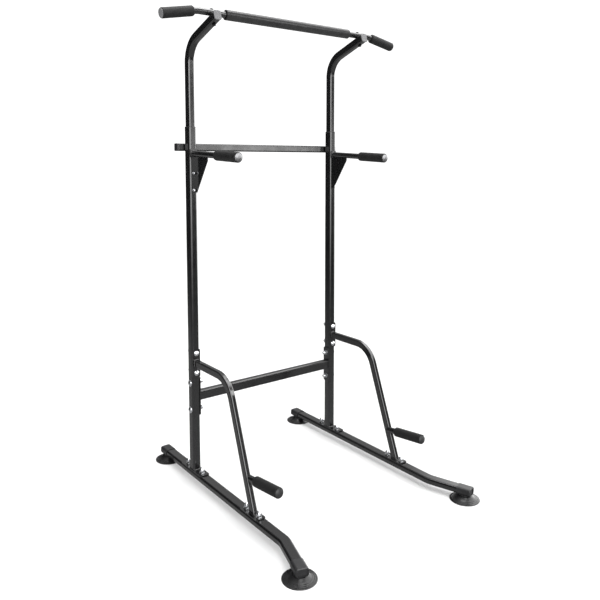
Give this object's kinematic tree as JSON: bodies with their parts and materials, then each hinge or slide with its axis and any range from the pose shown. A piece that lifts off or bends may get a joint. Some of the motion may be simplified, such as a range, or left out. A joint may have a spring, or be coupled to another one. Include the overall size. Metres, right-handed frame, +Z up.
{
  "type": "power tower",
  "caption": "Free-standing exercise tower with dip arms, push-up handles and a pull-up bar that adjusts in height.",
  "frame": {"origin": "on the floor under the middle of the footprint, at the rims of the suction feet", "axes": "+Z up; the user stands at -Y and faces +Y; +X to the right of the user"},
  "size_m": [1.1356, 1.132, 1.8772],
  "materials": {
    "frame_paint": "semi-gloss black powder coat",
    "grip_foam": "matte black closed-cell foam",
    "sleeve_foam": "satin grey closed-cell foam",
    "cup_rubber": "glossy black moulded rubber",
    "cap_plastic": "satin black moulded plastic",
    "black_plastic": "satin black moulded plastic",
    "grey_plastic": "satin grey moulded plastic",
    "slide_plastic": "smooth dark bearing plastic",
    "bright_plug": "bright metallised dome",
    "black_steel": "black oxide on steel",
    "zinc": "bright zinc plating",
    "lock_steel": "turned steel"
  },
  "bodies": {
    "frame": {"base_bolts": "zinc", "base_dome_nuts": "zinc", "brace_bolts": "zinc", "brace_dome_nuts": "zinc", "cross_bar": "frame_paint", "cross_bar_bolts": "zinc", "cross_bar_dome_nuts": "zinc", "dip_arm_dome_nuts": "zinc", "dip_arm_plugs": "bright_plug", "foot_bolts": "zinc", "frame_washers": "zinc", "left_base_rail": "frame_paint", "left_brace": "frame_paint", "left_dip_arm": "frame_paint", "left_dip_grip": "grip_foam", "left_front_foot_cap": "cap_plastic", "left_front_suction_cup": "cup_rubber", "left_lower_post": "frame_paint", "left_push_up_grip": "grip_foam", "left_rear_foot_cap": "cap_plastic", "left_rear_suction_cup": "cup_rubber", "left_upright": "frame_paint", "left_upright_bushing": "slide_plastic", "push_up_handle_plugs": "black_plastic", "rear_bar": "frame_paint", "rear_bar_dome_nuts": "zinc", "rear_bar_plugs": "black_plastic", "right_base_rail": "frame_paint", "right_brace": "frame_paint", "right_dip_arm": "frame_paint", "right_dip_grip": "grip_foam", "right_front_foot_cap": "cap_plastic", "right_front_suction_cup": "cup_rubber", "right_lower_post": "frame_paint", "right_push_up_grip": "grip_foam", "right_rear_foot_cap": "cap_plastic", "right_rear_suction_cup": "cup_rubber", "right_upright": "frame_paint", "right_upright_bushing": "slide_plastic"},
    "pull_up_assembly": {"left_telescoping_post": "frame_paint", "right_telescoping_post": "frame_paint", "post_plugs": "grey_plastic", "post_glides": "slide_plastic", "pull_up_bar": "frame_paint", "pull_up_bar_sleeve": "sleeve_foam", "left_bar_grip": "grip_foam", "right_bar_grip": "grip_foam", "pull_up_bar_plugs": "grey_plastic", "bar_bolts": "black_steel", "bar_nuts": "black_steel", "button_springs": "lock_steel"},
    "left_button": {"left_snap_button": "lock_steel"},
    "right_button": {"right_snap_button": "lock_steel"}
  },
  "joints": [
    {"name": "height_slide", "type": "slide", "parent": "frame", "child": "pull_up_assembly", "axis": [0, 0, 1], "range_m": [-0.25, 0.2]},
    {"name": "left_button_pop", "type": "slide", "parent": "pull_up_assembly", "child": "left_button", "axis": [0, 1, 0], "range_m": [0, 0.009]},
    {"name": "right_button_pop", "type": "slide", "parent": "pull_up_assembly", "child": "right_button", "axis": [0, 1, 0], "range_m": [0, 0.009]}
  ]
}
